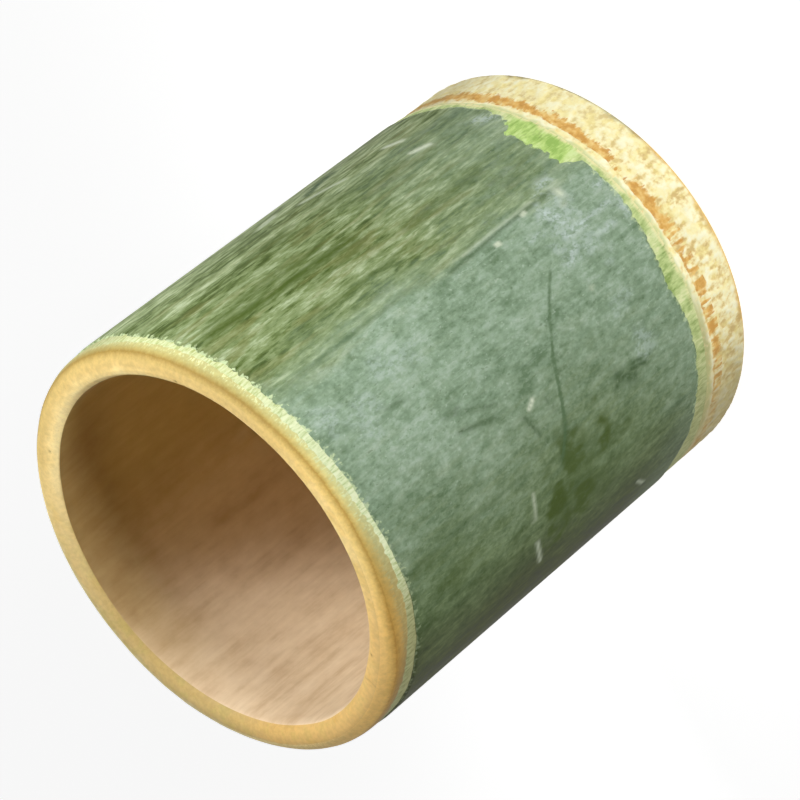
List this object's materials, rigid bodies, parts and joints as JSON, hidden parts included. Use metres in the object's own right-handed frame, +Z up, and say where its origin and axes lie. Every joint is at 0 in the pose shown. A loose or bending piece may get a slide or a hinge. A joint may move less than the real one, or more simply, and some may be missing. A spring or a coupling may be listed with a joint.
{
  "type": "bamboo cup",
  "caption": "Drinking cup cut from a length of green bamboo: rounded bare lip, green-skinned wall, the node's cross wall as floor and a shaved foot to stand on.",
  "frame": {"origin": "centre of the foot's resting plane", "axes": "+Z up along the culm, out of the mouth; -Y is the side that faces the camera in the picture"},
  "size_m": [0.079, 0.079, 0.1],
  "materials": {
    "green_skin": "satin waxy skin with a pale bloom",
    "under_bark": "matt, scraped",
    "dense_wood": "sanded",
    "soft_wood": "sanded",
    "lining": "smooth, fine lengthwise grain",
    "node_wood": "shaved, fibrous",
    "leaf_scar": "ragged fibres",
    "floor_wood": "rough, pithy"
  },
  "bodies": {
    "root": {"green_skin": "green_skin", "under_bark": "under_bark", "outer_fibre_wall": "dense_wood", "inner_wall": "soft_wood", "cavity_lining": "lining", "node_ring": "node_wood", "leaf_scar": "leaf_scar", "node_diaphragm": "floor_wood", "foot_wall": "node_wood", "foot_lining": "lining"}
  },
  "joints": []
}
